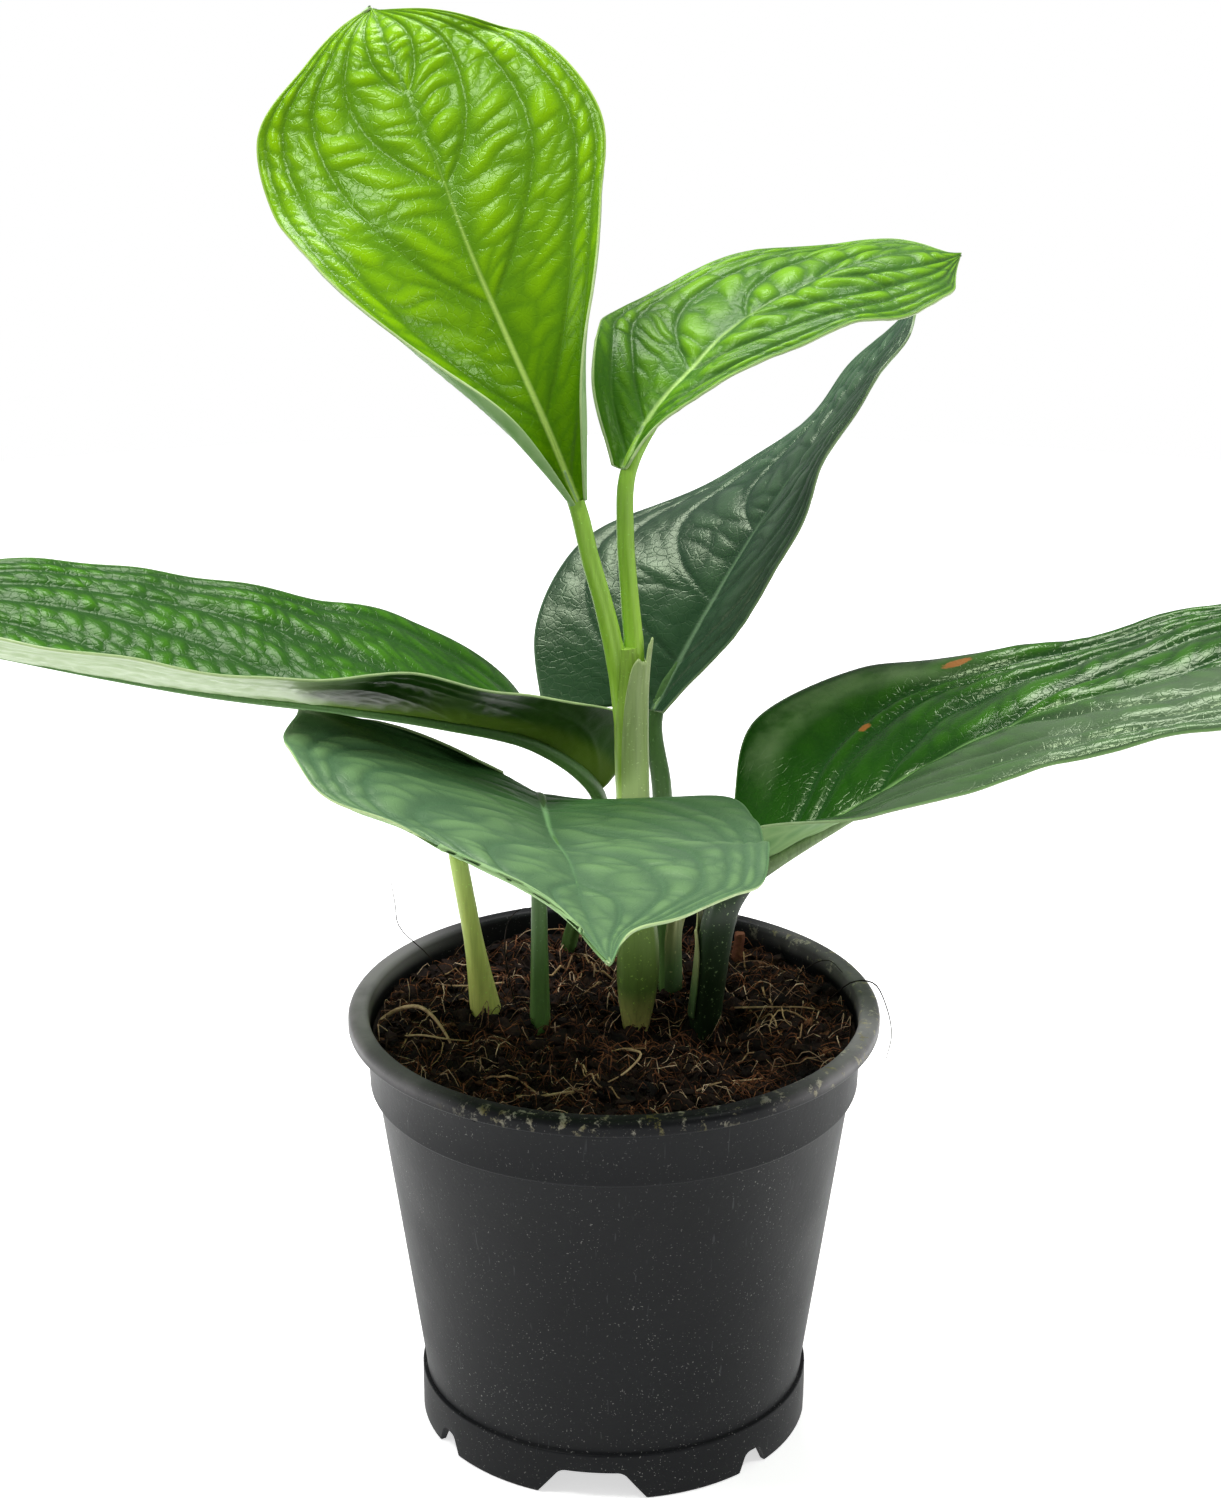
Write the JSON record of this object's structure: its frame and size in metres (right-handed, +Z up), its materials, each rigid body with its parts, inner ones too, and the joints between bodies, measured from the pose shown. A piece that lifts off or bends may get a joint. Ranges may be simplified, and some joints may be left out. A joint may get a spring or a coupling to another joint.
{
  "type": "potted monstera plant",
  "caption": "Young shingle-type monstera with thick quilted, uncut leaves on long stalks, growing from coir soil in a round black nursery pot.",
  "frame": {"origin": "centre of the pot's underside, on the surface the pot stands on", "axes": "+Z up along the pot's axis; +X along the spread of the two widest leaves, towards the long glossy leaf; -Y towards the leaf that hangs over the front of the pot"},
  "size_m": [0.364, 0.2262, 0.3204],
  "materials": {
    "pot_plastic": "satin charcoal, moulded, dusty",
    "potting_mix": "rough moist coir and peat",
    "leaf_young": "waxy bright green, quilted",
    "leaf_mature": "waxy deep green, quilted",
    "leaf_shaded": "waxy dark grey-green, quilted",
    "stem": "smooth light green",
    "stalk_dark": "smooth dark green",
    "sheath": "thin pale green",
    "sheath_dark": "thin dark green, drying at the edge",
    "old_wood": "dry, red-brown",
    "root": "dry, tan"
  },
  "bodies": {
    "root": {"pot": "pot_plastic", "soil": "potting_mix", "main_stem": "stem", "stem_sheath": "sheath", "right_sheath": "sheath_dark", "back_sheath": "sheath_dark", "upper_left_leaf": "leaf_young", "upper_right_leaf": "leaf_young", "young_leaf": "leaf_young", "back_leaf": "leaf_shaded", "left_leaf": "leaf_mature", "right_leaf": "leaf_mature", "front_leaf": "leaf_mature", "upper_left_stalk": "stem", "upper_right_stalk": "stem", "young_stalk": "stem", "left_stalk": "stalk_dark", "right_stalk": "stalk_dark", "front_stalk": "stalk_dark", "back_stalk": "stalk_dark", "wood_stub": "old_wood", "surface_root": "root"}
  },
  "joints": []
}
